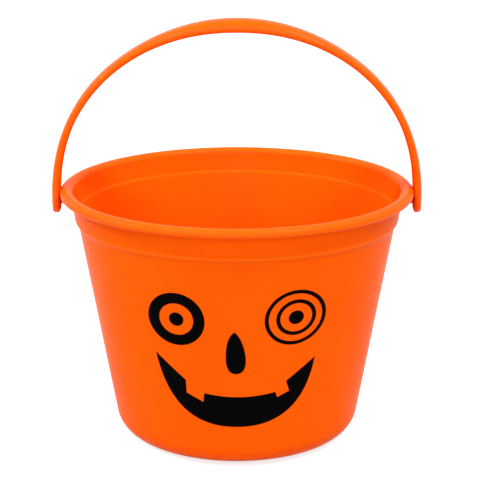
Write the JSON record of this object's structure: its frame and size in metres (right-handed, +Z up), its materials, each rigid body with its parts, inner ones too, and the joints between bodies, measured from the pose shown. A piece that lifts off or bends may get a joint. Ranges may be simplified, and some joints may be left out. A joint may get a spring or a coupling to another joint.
{
  "type": "halloween bucket",
  "caption": "Tapered plastic pail with a rolled rim, a printed lantern face and a strap handle that swings on two snap pins and folds down to the rim.",
  "frame": {"origin": "middle of the foot ring, on the ground", "axes": "+Z up along the pail's axis, -Y out of the printed face, +X along the handle's pin axis, to the right as the face is looked at"},
  "size_m": [0.2308, 0.22, 0.2631],
  "materials": {
    "orange_plastic": "smooth moulded polypropylene, semi-gloss",
    "black_ink": "opaque printed film, satin"
  },
  "bodies": {
    "bucket": {"bucket_body": "orange_plastic", "left_eye_ring": "black_ink", "left_eye_pupil": "black_ink", "right_eye_outer_ring": "black_ink", "right_eye_inner_ring": "black_ink", "right_eye_pupil": "black_ink", "nose": "black_ink", "mouth": "black_ink"},
    "bail": {"handle": "orange_plastic"}
  },
  "joints": [
    {"name": "handle_swing", "type": "hinge", "parent": "bucket", "child": "bail", "pos_m": [0, 0, 0.1515], "axis": [1, 0, 0], "range_deg": [-78, 78]}
  ]
}
